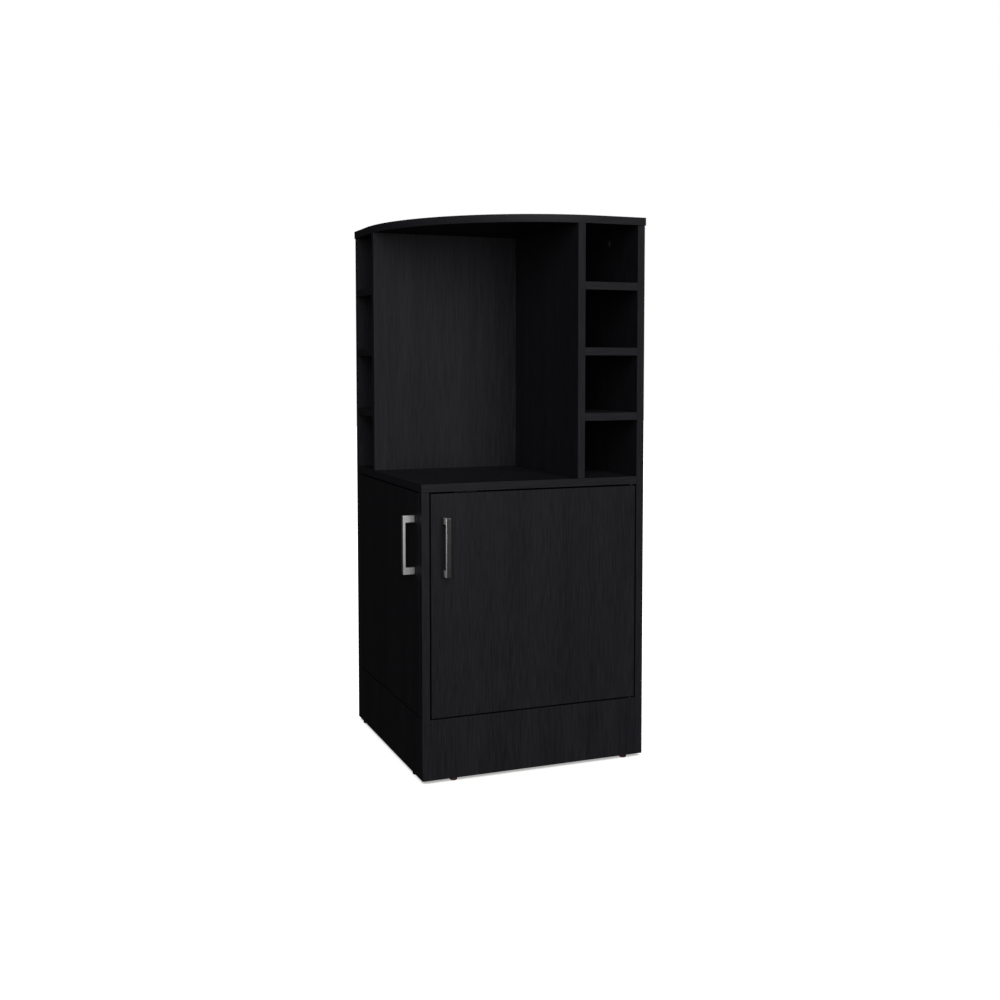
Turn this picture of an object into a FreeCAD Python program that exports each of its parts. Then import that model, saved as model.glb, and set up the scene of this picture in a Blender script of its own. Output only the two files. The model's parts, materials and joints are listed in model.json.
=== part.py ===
import FreeCAD, Part
import math
import os
import re
import Sketcher

# A corner bar cabinet of laminated board. It has a square plan and two finished faces that meet
# at the near corner: the front face and the left face. Each face has an inset door below and a
# wing of bottle cubbies above, and an open niche fills the corner over the countertop. The right
# side panel and the back panel stand against the room's walls.
#
# Sizes are in millimetres. Positions are given from the near corner at the boards' lower edge:
# X to the right along the front face, Y back along the left face, Z up. The document's own origin
# is at floor level, under the middle of the whole cabinet with its handles.

SIZES = {
    # carcase
    "cabinet_width": 450.0,
    "cabinet_depth": 450.0,
    "wall_height": 1025.0,
    "board": 15.0,
    "plinth_height": 112.0,
    "counter_under": 530.0,
    "cubby_width": 110.0,
    "corner_round": 358.5,
    "face_overhang": 1.5,
    "wall_overhang": 1.5,
    # doors and their pivots
    "door_gap": 3.0,
    "pivot_inset": 6.0,
    "pin_diameter": 5.0,
    "pin_in_door": 18.0,
    "pin_in_bush": 7.5,
    "collar_diameter": 9.0,
    "bush_wall": 1.0,
    "bush_flange": 1.0,
    "bush_floor": 1.0,
    "running_gap": 0.05,
    "fit_gap": 0.1,
    "hole_spare": 1.0,
    # handles
    "handle_pitch": 96.0,
    "handle_leg": 13.5,
    "handle_bar": 9.0,
    "handle_thickness": 5.5,
    "handle_projection": 23.0,
    "handle_inset": 26.5,
    "handle_drop": 48.5,
    "handle_screw": 4.0,
    "handle_thread": 8.0,
    # magnetic catches
    "catch_width": 46.0,
    "catch_depth": 16.0,
    "catch_height": 13.0,
    "catch_inset": 90.0,
    "magnet_width": 22.0,
    "magnet_depth": 10.0,
    "magnet_height": 8.0,
    "catch_gap": 0.3,
    "strike_width": 40.0,
    "strike_height": 24.0,
    "strike_thickness": 1.2,
    "small_screw": 3.0,
    "small_screw_length": 12.0,
    "strike_drop": 1.0,
    # carcase fasteners
    "screw_inset": 60.0,
    "screw_head": 10.0,
    "screw_head_height": 3.5,
    "screw_shank": 7.0,
    "screw_thread": 5.5,
    "screw_length": 50.0,
    "dowel_diameter": 8.0,
    "dowel_in_face": 10.0,
    "dowel_in_edge": 20.0,
    "cam_diameter": 15.0,
    "cam_drop": 24.0,
    "bolt_diameter": 6.0,
    "bolt_head": 7.0,
    "bolt_thread": 11.0,
    "bolt_play": 0.5,
    # floor glides
    "glide_diameter": 14.0,
    "glide_height": 5.0,
    "glide_pin": 3.0,
    "glide_pin_length": 15.0,
    "glide_near": 62.0,
    "glide_far": 38.0,
}

SHELVES = 3
CELLS = SHELVES + 1
TINY = 1e-6            # how near a face counts as on it, in millimetres
LEAST_CUT = 1e-3       # the least volume that a cut takes away, in cubic millimetres

# Derived places and sizes, as expressions in the names above.
CENTRE_X = "((cabinet_width + wall_overhang - handle_projection) / 2)"
CENTRE_Y = "((cabinet_depth + wall_overhang - handle_projection) / 2)"
RIGHT_INNER = "(cabinet_width - board)"
BACK_INNER = "(cabinet_depth - board)"
RIGHT_MID = "(cabinet_width - board / 2)"
BACK_MID = "(cabinet_depth - board / 2)"
PARTITION_X = "(cabinet_width - 2 * board - cubby_width)"
PARTITION_Y = "(cabinet_depth - 2 * board - cubby_width)"
CUBBY_X = "(cabinet_width - board - cubby_width)"
CUBBY_Y = "(cabinet_depth - board - cubby_width)"
PARTITION_MID_X = "(cabinet_width - 1.5 * board - cubby_width)"
PARTITION_MID_Y = "(cabinet_depth - 1.5 * board - cubby_width)"
COUNTER_TOP = "(counter_under + board)"
COUNTER_MID = "(counter_under + board / 2)"
BASE_UNDER = "(plinth_height - board)"
BASE_MID = "(plinth_height - board / 2)"
CELL = f"((wall_height - {COUNTER_TOP} - {SHELVES} * board) / {CELLS})"
DOOR_BOTTOM = "(plinth_height + door_gap)"
DOOR_TOP = "(counter_under - door_gap)"
DOOR_HEIGHT = f"({DOOR_TOP} - {DOOR_BOTTOM})"
DOOR_START = "(board + door_gap)"
PIN_HOLE = "(pin_diameter + 2 * fit_gap)"
BUSH_BORE = "(pin_diameter + 2 * running_gap)"
BUSH_OUTER = f"({BUSH_BORE} + 2 * bush_wall)"
BUSH_DEPTH = "(pin_in_bush + fit_gap + bush_floor)"
COLLAR_HEIGHT = "(door_gap - bush_flange - fit_gap)"
SMALL_HOLE = "(small_screw + 2 * fit_gap)"
THROUGH = "(board + fit_gap)"
CAM_DEPTH = "(board / 2 + bolt_head / 2 + 2 * bolt_play)"
EAR_PITCH = "((catch_width + magnet_width) / 2)"

doc = FreeCAD.newDocument("CornerBarCabinet")
sheet = doc.addObject("Spreadsheet::Sheet", "Sizes")
pieces = []


def fill_sheet():
    """Write every driving dimension in the sheet, its name beside it."""
    for row, (name, value) in enumerate(SIZES.items(), start=1):
        sheet.set(f"A{row}", name)
        sheet.set(f"B{row}", str(value))
        sheet.setAlias(f"B{row}", name)
    doc.recompute()


def words(text):
    """Turn an expression in plain size names into one that reads the sheet."""
    return re.sub(r"[a-z]\w*", lambda word: f"Sizes.{word[0]}" if word[0] in SIZES else word[0], text)


def bind(thing, name, text):
    """Bind one property of a thing to an expression."""
    thing.setExpression(name, words(text))


def put(thing, x, y, z):
    """Place a thing by its own origin, at a point given from the near corner."""
    bind(thing, "Placement.Base.x", f"({x}) - {CENTRE_X}")
    bind(thing, "Placement.Base.y", f"({y}) - {CENTRE_Y}")
    bind(thing, "Placement.Base.z", f"({z}) + glide_height")


def sketch_on(body, plane, offset="0"):
    """Start a sketch on one of the body's own origin planes, moved along the plane's normal."""
    sketch = body.newObject("Sketcher::SketchObject", f"{body.Name}_sketch")
    sketch.AttachmentSupport = [(next(p for p in body.Origin.OriginFeatures if p.Role == plane), "")]
    sketch.MapMode = "FlatFace"
    bind(sketch, "AttachmentOffset.Base.z", offset)
    return sketch


def hold(sketch, kind, *where, by, drawn=1.0):
    """Add a constraint with a size, as drawn so far, and bind the size to an expression."""
    index = sketch.addConstraint(Sketcher.Constraint(kind, *where, drawn))
    bind(sketch, f"Constraints[{index}]", by)


def hold_or_rest(sketch, kind, part, point, text):
    """Hold a point at a distance from an axis, or rest it on the axis where the distance is 0."""
    if text == "0":
        axis = -2 if kind == "DistanceX" else -1
        sketch.addConstraint(Sketcher.Constraint("PointOnObject", part, point, axis))
    else:
        hold(sketch, kind, -1, 1, part, point, by=text)


def draw_rectangle(sketch, width, height, x="0", y="0", centred=False):
    """Draw a rectangle from its low corner x, y, or standing centred over the sketch's origin."""
    corners = [FreeCAD.Vector(*xy, 0) for xy in ((1, 1), (2, 1), (2, 2), (1, 2))]
    first = sketch.GeometryCount
    for start, end in zip(corners, corners[1:] + corners[:1]):
        sketch.addGeometry(Part.LineSegment(start, end))
    for side in range(4):
        sketch.addConstraint(Sketcher.Constraint("Coincident", first + side, 2, first + (side + 1) % 4, 1))
        if side > 0:
            sketch.addConstraint(Sketcher.Constraint(("Horizontal", "Vertical")[side % 2], first + side))
    hold(sketch, "DistanceX", first, 1, first, 2, by=width)
    hold(sketch, "DistanceY", first + 1, 1, first + 1, 2, by=height)
    if centred:
        sketch.addConstraint(Sketcher.Constraint("Symmetric", first, 1, first, 2, -2))
    else:
        sketch.addConstraint(Sketcher.Constraint("Horizontal", first))
        hold_or_rest(sketch, "DistanceX", first, 1, x)
    hold_or_rest(sketch, "DistanceY", first, 1, y)


def draw_circles(sketch, diameter, centres):
    """Draw equal circles, each held by its centre's distances from the sketch's origin."""
    for across, up in centres:
        ring = sketch.addGeometry(Part.Circle(FreeCAD.Vector(1, 1, 0), FreeCAD.Vector(0, 0, 1), 1))
        hold(sketch, "Diameter", ring, by=diameter)
        hold_or_rest(sketch, "DistanceX", ring, 3, across)
        hold_or_rest(sketch, "DistanceY", ring, 3, up)


def draw_profile(sketch, points):
    """Draw a closed outline of straight sides, each corner but the first held from the origin."""
    count = len(points)
    spread = [FreeCAD.Vector(i, i * i, 0) / 10 + FreeCAD.Vector(1, 1, 0) for i in range(count)]
    for i in range(count):
        sketch.addGeometry(Part.LineSegment(spread[i], spread[(i + 1) % count]))
    for i, (across, up) in enumerate(points):
        sketch.addConstraint(Sketcher.Constraint("Coincident", (i - 1) % count, 2, i, 1))
        hold_or_rest(sketch, "DistanceX", i, 1, across)
        hold_or_rest(sketch, "DistanceY", i, 1, up)


# How a hole is sketched on each face of a block: the plane, the face's axis and the sign of its
# offset along the plane's normal, whether the cut runs along that normal, and the in-plane axes.
FACES = {
    "bottom": ("XY_Plane", None, "", True, (0, 1)),
    "top": ("XY_Plane", 2, "", False, (0, 1)),
    "front": ("XZ_Plane", None, "", False, (0, 2)),
    "back": ("XZ_Plane", 1, "-", True, (0, 2)),
    "left": ("YZ_Plane", None, "", True, (1, 2)),
    "right": ("YZ_Plane", 0, "", False, (1, 2)),
}


def cut(body, sketch, depth, along_normal):
    """Cut a sketch's outline into the body to a depth."""
    pocket = body.newObject("PartDesign::Pocket", f"{body.Name}_cut")
    pocket.Profile = sketch
    pocket.Reversed = along_normal
    bind(pocket, "Length", depth)
    return pocket


def block(label, corner, size, holes=()):
    """Make a rectangular piece, at a corner and of a size given in X, Y and Z, with its holes.

    Each group of holes is (face, diameter, depth, points), the points given from the near corner.
    """
    body = doc.addObject("PartDesign::Body", label)
    outline = sketch_on(body, "XY_Plane")
    draw_rectangle(outline, size[0], size[1])
    slab = body.newObject("PartDesign::Pad", f"{label}_slab")
    slab.Profile = outline
    bind(slab, "Length", size[2])
    for face, diameter, depth, points in holes:
        plane, axis, sign, along_normal, (first, second) = FACES[face]
        offset = "0" if axis is None else f"{sign}({size[axis]})"
        sketch = sketch_on(body, plane, offset)
        centres = [(f"{p[first]} - {corner[first]}", f"{p[second]} - {corner[second]}") for p in points]
        draw_circles(sketch, diameter, centres)
        cut(body, sketch, depth, along_normal)
    put(body, *corner)
    pieces.append(body)
    return body


def turned_piece(label, points):
    """Make a round piece by turning a profile of (radius, height) corners about its own Z axis."""
    body = doc.addObject("PartDesign::Body", label)
    profile = sketch_on(body, "XZ_Plane")
    draw_profile(profile, points)
    turn = body.newObject("PartDesign::Revolution", f"{label}_turn")
    turn.Profile = profile
    turn.ReferenceAxis = (profile, ["V_Axis"])
    turn.Angle = 360
    return body


# Rotations that point a piece's own Z axis along a direction, with its own X axis up where it can.
UP = FreeCAD.Vector(0, 0, 1)
TOWARDS = {
    "+X": FreeCAD.Rotation(UP, FreeCAD.Vector(), FreeCAD.Vector(1, 0, 0), "ZXY"),
    "-X": FreeCAD.Rotation(UP, FreeCAD.Vector(), FreeCAD.Vector(-1, 0, 0), "ZXY"),
    "+Y": FreeCAD.Rotation(UP, FreeCAD.Vector(), FreeCAD.Vector(0, 1, 0), "ZXY"),
    "-Y": FreeCAD.Rotation(UP, FreeCAD.Vector(), FreeCAD.Vector(0, -1, 0), "ZXY"),
    "+Z": FreeCAD.Rotation(),
    "-Z": FreeCAD.Rotation(FreeCAD.Vector(1, 0, 0), 180),
    # a piece drawn for the front face, turned to serve on the left face
    "front": FreeCAD.Rotation(),
    "left": FreeCAD.Rotation(UP, -90),
}


def group(label, master, places):
    """Set copies of one piece at (x, y, z, direction) places, as separate solids of one node."""
    copies = []
    for number, (x, y, z, direction) in enumerate(places, start=1):
        copy = doc.addObject("App::Link", f"{label}_{number}")
        copy.LinkedObject = master
        copy.Placement = FreeCAD.Placement(FreeCAD.Vector(), TOWARDS[direction])
        put(copy, x, y, z)
        copies.append(copy)
    node = doc.addObject("Part::Compound", label)
    node.Links = copies
    pieces.append(node)


def shelf_under(number):
    """Height of the underside of a shelf, counted from the lowest."""
    return f"({COUNTER_TOP} + {number} * {CELL} + {number - 1} * board)"


def shelf_mid(number):
    """Height of the middle of a shelf's thickness."""
    return f"({shelf_under(number)} + board / 2)"


def cell_mid(number):
    """Height of the middle of a cubby, counted from the lowest."""
    return f"({COUNTER_TOP} + {number - 0.5} * {CELL} + {number - 1} * board)"


fill_sheet()

# ---- where the carcase is fastened ------------------------------------------------------------

NEAR = "screw_inset"
FAR_X = f"({RIGHT_INNER} - screw_inset)"
FAR_Y = f"({BACK_INNER} - screw_inset)"
WING_X = f"({PARTITION_X} - screw_inset)"
INSET_2 = "(2 * screw_inset)"
FAR_X_2 = f"({RIGHT_INNER} - 2 * screw_inset)"
FAR_Y_2 = f"({BACK_INNER} - 2 * screw_inset)"
SHELF_NUMBERS = range(1, CELLS)
PARTITION_HEIGHTS = (cell_mid(1), cell_mid(CELLS))
EDGE_HEIGHTS = ("screw_inset", "(wall_height / 2)", "(wall_height - screw_inset)")

base_side_screws = [("cabinet_width", y, BASE_MID, "-X") for y in (NEAR, FAR_Y)]
counter_side_screws = [("cabinet_width", y, COUNTER_MID, "-X") for y in (NEAR, FAR_Y)]
shelf_side_screws = {n: [("cabinet_width", y, shelf_mid(n), "-X") for y in (NEAR, FAR_Y)]
                     for n in SHELF_NUMBERS}
plinth_side_screws = [("cabinet_width", "(board / 2)", "(plinth_height / 2)", "-X")]
edge_side_screws = [("cabinet_width", BACK_MID, z, "-X") for z in EDGE_HEIGHTS]
side_screws = (base_side_screws + counter_side_screws + sum(shelf_side_screws.values(), [])
               + plinth_side_screws + edge_side_screws)

base_back_screws = [(x, "cabinet_depth", BASE_MID, "-Y") for x in (NEAR, FAR_X)]
counter_back_screws = [(x, "cabinet_depth", COUNTER_MID, "-Y") for x in (NEAR, FAR_X)]
shelf_back_screws = {n: [(x, "cabinet_depth", shelf_mid(n), "-Y") for x in (NEAR, WING_X)]
                     for n in SHELF_NUMBERS}
plinth_back_screws = [("(board / 2)", "cabinet_depth", "(plinth_height / 2)", "-Y")]
partition_back_screws = [(PARTITION_MID_X, "cabinet_depth", z, "-Y") for z in PARTITION_HEIGHTS]
back_screws = (base_back_screws + counter_back_screws + sum(shelf_back_screws.values(), [])
               + plinth_back_screws + partition_back_screws)

corner_screws = [(CUBBY_X, PARTITION_MID_Y, z, "-X") for z in PARTITION_HEIGHTS]
right_foot_screws = [(PARTITION_MID_X, y, "counter_under", "+Z") for y in (NEAR, FAR_Y)]
left_foot_screws = [(x, PARTITION_MID_Y, "counter_under", "+Z") for x in (NEAR, WING_X)]

right_shelf_dowels = {n: [(CUBBY_X, y, shelf_mid(n), "+X") for y in (NEAR, FAR_Y)] for n in SHELF_NUMBERS}
left_shelf_dowels = {n: [(x, CUBBY_Y, shelf_mid(n), "+Y") for x in (NEAR, WING_X)] for n in SHELF_NUMBERS}
side_top_dowels = [(RIGHT_MID, y, "wall_height", "-Z") for y in (NEAR, FAR_Y)]
back_top_dowels = [(x, BACK_MID, "wall_height", "-Z") for x in (NEAR, FAR_X)]
right_top_dowels = [(PARTITION_MID_X, y, "wall_height", "-Z") for y in (NEAR, FAR_Y)]
left_top_dowels = [(x, PARTITION_MID_Y, "wall_height", "-Z") for x in (NEAR, WING_X)]
post_foot_dowel = [("(board / 2)", "(board / 2)", "plinth_height", "-Z")]
post_head_dowel = [("(board / 2)", "(board / 2)", "counter_under", "-Z")]
plinth_dowels = [("(board / 2)", "board", f"({part} * plinth_height / 3)", "+Y") for part in (1, 2)]
base_front_dowels = [(x, "board", BASE_MID, "+Y") for x in (INSET_2, FAR_X_2)]
base_left_dowels = [("board", y, BASE_MID, "+X") for y in (INSET_2, FAR_Y_2)]

CAM_HEIGHT = "(wall_height - cam_drop)"
side_cams = [(RIGHT_INNER, y, CAM_HEIGHT, "+X") for y in (INSET_2, FAR_Y_2)]
back_cams = [(x, BACK_INNER, CAM_HEIGHT, "+Y") for x in (INSET_2, WING_X)]
right_cams = [(CUBBY_X, INSET_2, CAM_HEIGHT, "-X")]
left_cams = [(INSET_2, CUBBY_Y, CAM_HEIGHT, "-Y")]
side_bolts = [(RIGHT_MID, y, "wall_height", "+Z") for y in (INSET_2, FAR_Y_2)]
back_bolts = [(x, BACK_MID, "wall_height", "+Z") for x in (INSET_2, WING_X)]
right_bolts = [(PARTITION_MID_X, INSET_2, "wall_height", "+Z")]
left_bolts = [(INSET_2, PARTITION_MID_Y, "wall_height", "+Z")]

GLIDE_FAR_X = "(cabinet_width - glide_far)"
GLIDE_FAR_Y = "(cabinet_depth - glide_far)"
front_glides = [(x, "(board / 2)", "0", "+Z") for x in ("glide_near", GLIDE_FAR_X)]
left_glides = [("(board / 2)", y, "0", "+Z") for y in ("glide_near", GLIDE_FAR_Y)]
side_glides = [(RIGHT_MID, y, "0", "+Z") for y in ("glide_near", GLIDE_FAR_Y)]
back_glides = [(x, BACK_MID, "0", "+Z") for x in ("glide_near", GLIDE_FAR_X)]


# ---- how each fastener is drilled for ---------------------------------------------------------

def screw_face(face, points):
    """Holes for carcase screws in the board that their heads sit in."""
    return [(face, "screw_shank + 2 * fit_gap", THROUGH, points),
            (face, "screw_head + 2 * fit_gap", "screw_head_height + fit_gap", points)]


def screw_edge(face, points):
    """Holes for carcase screws in the edge of the board that their threads hold in."""
    return [(face, "screw_thread + 2 * fit_gap", "screw_length - board + 2 * hole_spare", points)]


def dowel_face(face, points):
    """Dowel holes in the face of a board."""
    return [(face, "dowel_diameter + 2 * fit_gap", "dowel_in_face + hole_spare", points)]


def dowel_edge(face, points):
    """Dowel holes in the edge of a board."""
    return [(face, "dowel_diameter + 2 * fit_gap", "dowel_in_edge + hole_spare", points)]


def cam_seat(face, cams, bolts):
    """The cam's round seat in a board's face, and the bolt's way in from the top edge."""
    return [(face, "cam_diameter + 2 * fit_gap", f"{CAM_DEPTH} + fit_gap", cams),
            ("top", "bolt_head + 2 * bolt_play", "cam_drop", bolts)]


def glide_holes(points):
    """Holes for the glides' pins in a board's lower edge."""
    return [("bottom", "glide_pin + 2 * fit_gap", "glide_pin_length + hole_spare", points)]


def bush_holes(face, points):
    """Seats for the pivot bushes."""
    return [(face, f"{BUSH_OUTER} + 2 * fit_gap", f"{BUSH_DEPTH} + fit_gap", points)]


# ---- doors: where each face's door turns, and where its handle and catch go -------------------

class Side:
    """One of the two finished faces, with the places of its door's pieces."""

    def __init__(self, name, run, inner_face):
        self.name = name
        self.inner_face = inner_face
        self.width = f"({run} - 2 * board - 2 * door_gap)"
        self.pivot = f"({run} - board - door_gap - pivot_inset)"
        self.corner = self.point(DOOR_START, "0", DOOR_BOTTOM)
        self.size = self.point(self.width, "board", DOOR_HEIGHT)
        self.pins = [self.place(self.pivot, "pivot_inset", DOOR_TOP, "+Z"),
                     self.place(self.pivot, "pivot_inset", DOOR_BOTTOM, "-Z")]
        self.top_bush = [self.place(self.pivot, "pivot_inset", "counter_under", "+Z")]
        self.foot_bush = [self.place(self.pivot, "pivot_inset", "plinth_height", "-Z")]
        handle_along = f"({DOOR_START} + handle_inset)"
        handle_head = f"({DOOR_TOP} - handle_drop)"
        handle_foot = f"({handle_head} - handle_pitch)"
        outward = {"front": "-Y", "left": "-X"}[name]
        self.handle = [self.place(handle_along, "-handle_projection", handle_foot, name)]
        self.handle_screws = [self.place(handle_along, "board", z, outward)
                              for z in (handle_head, handle_foot)]
        strike_back = "(board + strike_thickness)"
        strike_foot = f"({DOOR_TOP} - strike_drop - strike_height)"
        self.strike_corner = self.point("(catch_inset - strike_width / 2)", "board", strike_foot)
        self.strike_size = self.point("strike_width", "strike_thickness", "strike_height")
        self.strike_screws = [self.place(f"(catch_inset {sign} strike_width / 4)", strike_back,
                                         f"({strike_foot} + 2 * small_screw)", outward) for sign in "-+"]
        catch_front = "(board + strike_thickness + catch_gap)"
        catch_foot = "(counter_under - catch_height)"
        self.catch = [self.place("catch_inset", catch_front, catch_foot, name)]
        self.catch_screws = [self.place(f"(catch_inset {sign} {EAR_PITCH} / 2)",
                                        f"({catch_front} + catch_depth / 2)", catch_foot, "+Z")
                             for sign in "-+"]

    def point(self, along, inward, up):
        """X, Y and Z of a place along the face, inward from it and up."""
        return (along, inward, up) if self.name == "front" else (inward, along, up)

    def place(self, along, inward, up, direction):
        """A place for a copy of a piece."""
        return (*self.point(along, inward, up), direction)


SIDES = [Side("front", "cabinet_width", "back"), Side("left", "cabinet_depth", "right")]
front, left = SIDES
catch_screws = front.catch_screws + left.catch_screws
BOARD_SPAN = f"(wall_height - {COUNTER_TOP})"

# ---- carcase boards ---------------------------------------------------------------------------

block("right_side_panel", (RIGHT_INNER, "0", "0"), ("board", "cabinet_depth", "wall_height"),
      screw_face("right", side_screws) + dowel_edge("top", side_top_dowels)
      + cam_seat("left", side_cams, side_bolts) + glide_holes(side_glides))

block("back_panel", ("0", BACK_INNER, "0"), (RIGHT_INNER, "board", "wall_height"),
      screw_face("back", back_screws) + screw_edge("right", edge_side_screws)
      + dowel_edge("top", back_top_dowels) + cam_seat("front", back_cams, back_bolts)
      + glide_holes(back_glides))

block("front_plinth", ("0", "0", "0"), (RIGHT_INNER, "board", "plinth_height"),
      screw_edge("right", plinth_side_screws) + dowel_face("back", plinth_dowels + base_front_dowels)
      + dowel_edge("top", post_foot_dowel) + bush_holes("top", front.foot_bush)
      + glide_holes(front_glides))

block("left_plinth", ("0", "board", "0"), ("board", f"({BACK_INNER} - board)", "plinth_height"),
      screw_edge("back", plinth_back_screws) + dowel_edge("front", plinth_dowels)
      + dowel_face("right", base_left_dowels) + bush_holes("top", left.foot_bush)
      + glide_holes(left_glides))

block("base_panel", ("board", "board", BASE_UNDER),
      (f"({RIGHT_INNER} - board)", f"({BACK_INNER} - board)", "board"),
      screw_edge("right", base_side_screws) + screw_edge("back", base_back_screws)
      + dowel_edge("front", base_front_dowels) + dowel_edge("left", base_left_dowels))

block("corner_post", ("0", "0", "plinth_height"), ("board", "board", "(counter_under - plinth_height)"),
      dowel_face("bottom", post_foot_dowel) + dowel_edge("top", post_head_dowel))

block("countertop", ("0", "0", "counter_under"), (RIGHT_INNER, BACK_INNER, "board"),
      screw_edge("right", counter_side_screws) + screw_edge("back", counter_back_screws)
      + screw_face("bottom", right_foot_screws + left_foot_screws)
      + dowel_face("bottom", post_head_dowel) + bush_holes("bottom", front.top_bush + left.top_bush)
      + [("bottom", SMALL_HOLE, "small_screw_length", catch_screws)])

block("right_partition", (PARTITION_X, "0", COUNTER_TOP), ("board", BACK_INNER, BOARD_SPAN),
      screw_face("right", corner_screws) + screw_edge("back", partition_back_screws)
      + screw_edge("bottom", right_foot_screws) + dowel_edge("top", right_top_dowels)
      + dowel_face("right", sum(right_shelf_dowels.values(), []))
      + cam_seat("right", right_cams, right_bolts))

block("left_partition", ("0", PARTITION_Y, COUNTER_TOP), (PARTITION_X, "board", BOARD_SPAN),
      screw_edge("right", corner_screws) + screw_edge("bottom", left_foot_screws)
      + dowel_edge("top", left_top_dowels) + dowel_face("back", sum(left_shelf_dowels.values(), []))
      + cam_seat("back", left_cams, left_bolts))

for number in SHELF_NUMBERS:
    block(f"right_shelf_{number}", (CUBBY_X, "0", shelf_under(number)), ("cubby_width", BACK_INNER, "board"),
          screw_edge("right", shelf_side_screws[number]) + dowel_edge("left", right_shelf_dowels[number]))
    block(f"left_shelf_{number}", ("0", CUBBY_Y, shelf_under(number)), (PARTITION_X, "cubby_width", "board"),
          screw_edge("back", shelf_back_screws[number]) + dowel_edge("front", left_shelf_dowels[number]))


def make_top_panel():
    """The top panel: a square with its near corner rounded by one large quarter circle."""
    body = doc.addObject("PartDesign::Body", "top_panel")
    outline = sketch_on(body, "XY_Plane")
    reach_x = "(cabinet_width + face_overhang + wall_overhang)"
    reach_y = "(cabinet_depth + face_overhang + wall_overhang)"
    turn = SIZES["corner_round"]
    wide = SIZES["cabinet_width"]
    deep = SIZES["cabinet_depth"]
    ends = [(turn, 0), (wide, 0), (wide, deep), (0, deep), (0, turn)]
    for start, end in zip(ends, ends[1:]):
        outline.addGeometry(Part.LineSegment(FreeCAD.Vector(*start, 0), FreeCAD.Vector(*end, 0)))
    circle = Part.Circle(FreeCAD.Vector(turn, turn, 0), UP, turn)
    arc = outline.addGeometry(Part.ArcOfCircle(circle, math.pi, 1.5 * math.pi))
    for line in range(3):
        outline.addConstraint(Sketcher.Constraint("Coincident", line, 2, line + 1, 1))
    for line, way in enumerate(("Horizontal", "Vertical", "Horizontal", "Vertical")):
        outline.addConstraint(Sketcher.Constraint(way, line))
    outline.addConstraint(Sketcher.Constraint("Tangent", 3, 2, arc, 1))
    outline.addConstraint(Sketcher.Constraint("Tangent", 0, 1, arc, 2))
    outline.addConstraint(Sketcher.Constraint("PointOnObject", 0, 1, -1))
    outline.addConstraint(Sketcher.Constraint("PointOnObject", 3, 2, -2))
    hold(outline, "Radius", arc, by="corner_round", drawn=turn)
    hold(outline, "DistanceX", -1, 1, 1, 1, by=reach_x, drawn=wide)
    hold(outline, "DistanceY", -1, 1, 2, 1, by=reach_y, drawn=deep)
    slab = body.newObject("PartDesign::Pad", "top_panel_slab")
    slab.Profile = outline
    bind(slab, "Length", "board")
    sockets = (
        ("dowel_diameter + 2 * fit_gap", "dowel_in_face + hole_spare",
         side_top_dowels + back_top_dowels + right_top_dowels + left_top_dowels),
        ("bolt_diameter + 2 * fit_gap", "bolt_thread + hole_spare",
         side_bolts + back_bolts + right_bolts + left_bolts),
    )
    for diameter, depth, points in sockets:
        sketch = sketch_on(body, "XY_Plane")
        draw_circles(sketch, diameter, [(f"{x} + face_overhang", f"{y} + face_overhang")
                                        for x, y, _, _ in points])
        cut(body, sketch, depth, True)
    put(body, "-face_overhang", "-face_overhang", "wall_height")
    pieces.append(body)


make_top_panel()

# ---- carcase fasteners ------------------------------------------------------------------------

screw = turned_piece("screw_pattern", [
    ("0", "screw_head_height / 2"), ("screw_head / 4", "screw_head_height / 2"),
    ("screw_head / 4", "0"), ("screw_head / 2", "0"), ("screw_head / 2", "screw_head_height"),
    ("screw_shank / 2", "screw_head_height"), ("screw_shank / 2", "board"),
    ("screw_thread / 2", "board"), ("screw_thread / 2", "screw_length - screw_thread"),
    ("0", "screw_length")])
group("carcase_screws", screw, side_screws + back_screws + corner_screws
      + right_foot_screws + left_foot_screws)


def make_dowel():
    """A grooveless dowel with chamfered ends: it stands in the face by its own Z below 0."""
    body = doc.addObject("PartDesign::Body", "dowel_pattern")
    ring = sketch_on(body, "XY_Plane", "-dowel_in_face")
    circle = ring.addGeometry(Part.Circle(FreeCAD.Vector(), UP, 1))
    ring.addConstraint(Sketcher.Constraint("Coincident", circle, 3, -1, 1))
    hold(ring, "Diameter", circle, by="dowel_diameter")
    rod = body.newObject("PartDesign::Pad", "dowel_rod")
    rod.Profile = ring
    bind(rod, "Length", "dowel_in_face + dowel_in_edge")
    doc.recompute()
    ends = body.newObject("PartDesign::Chamfer", "dowel_ends")
    ends.Base = (rod, ["Edge1", "Edge3"])
    bind(ends, "Size", "dowel_diameter / 8")
    return body


group("dowels", make_dowel(), sum(right_shelf_dowels.values(), []) + sum(left_shelf_dowels.values(), [])
      + side_top_dowels + back_top_dowels + right_top_dowels + left_top_dowels + post_foot_dowel
      + post_head_dowel + plinth_dowels + base_front_dowels + base_left_dowels)


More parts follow.
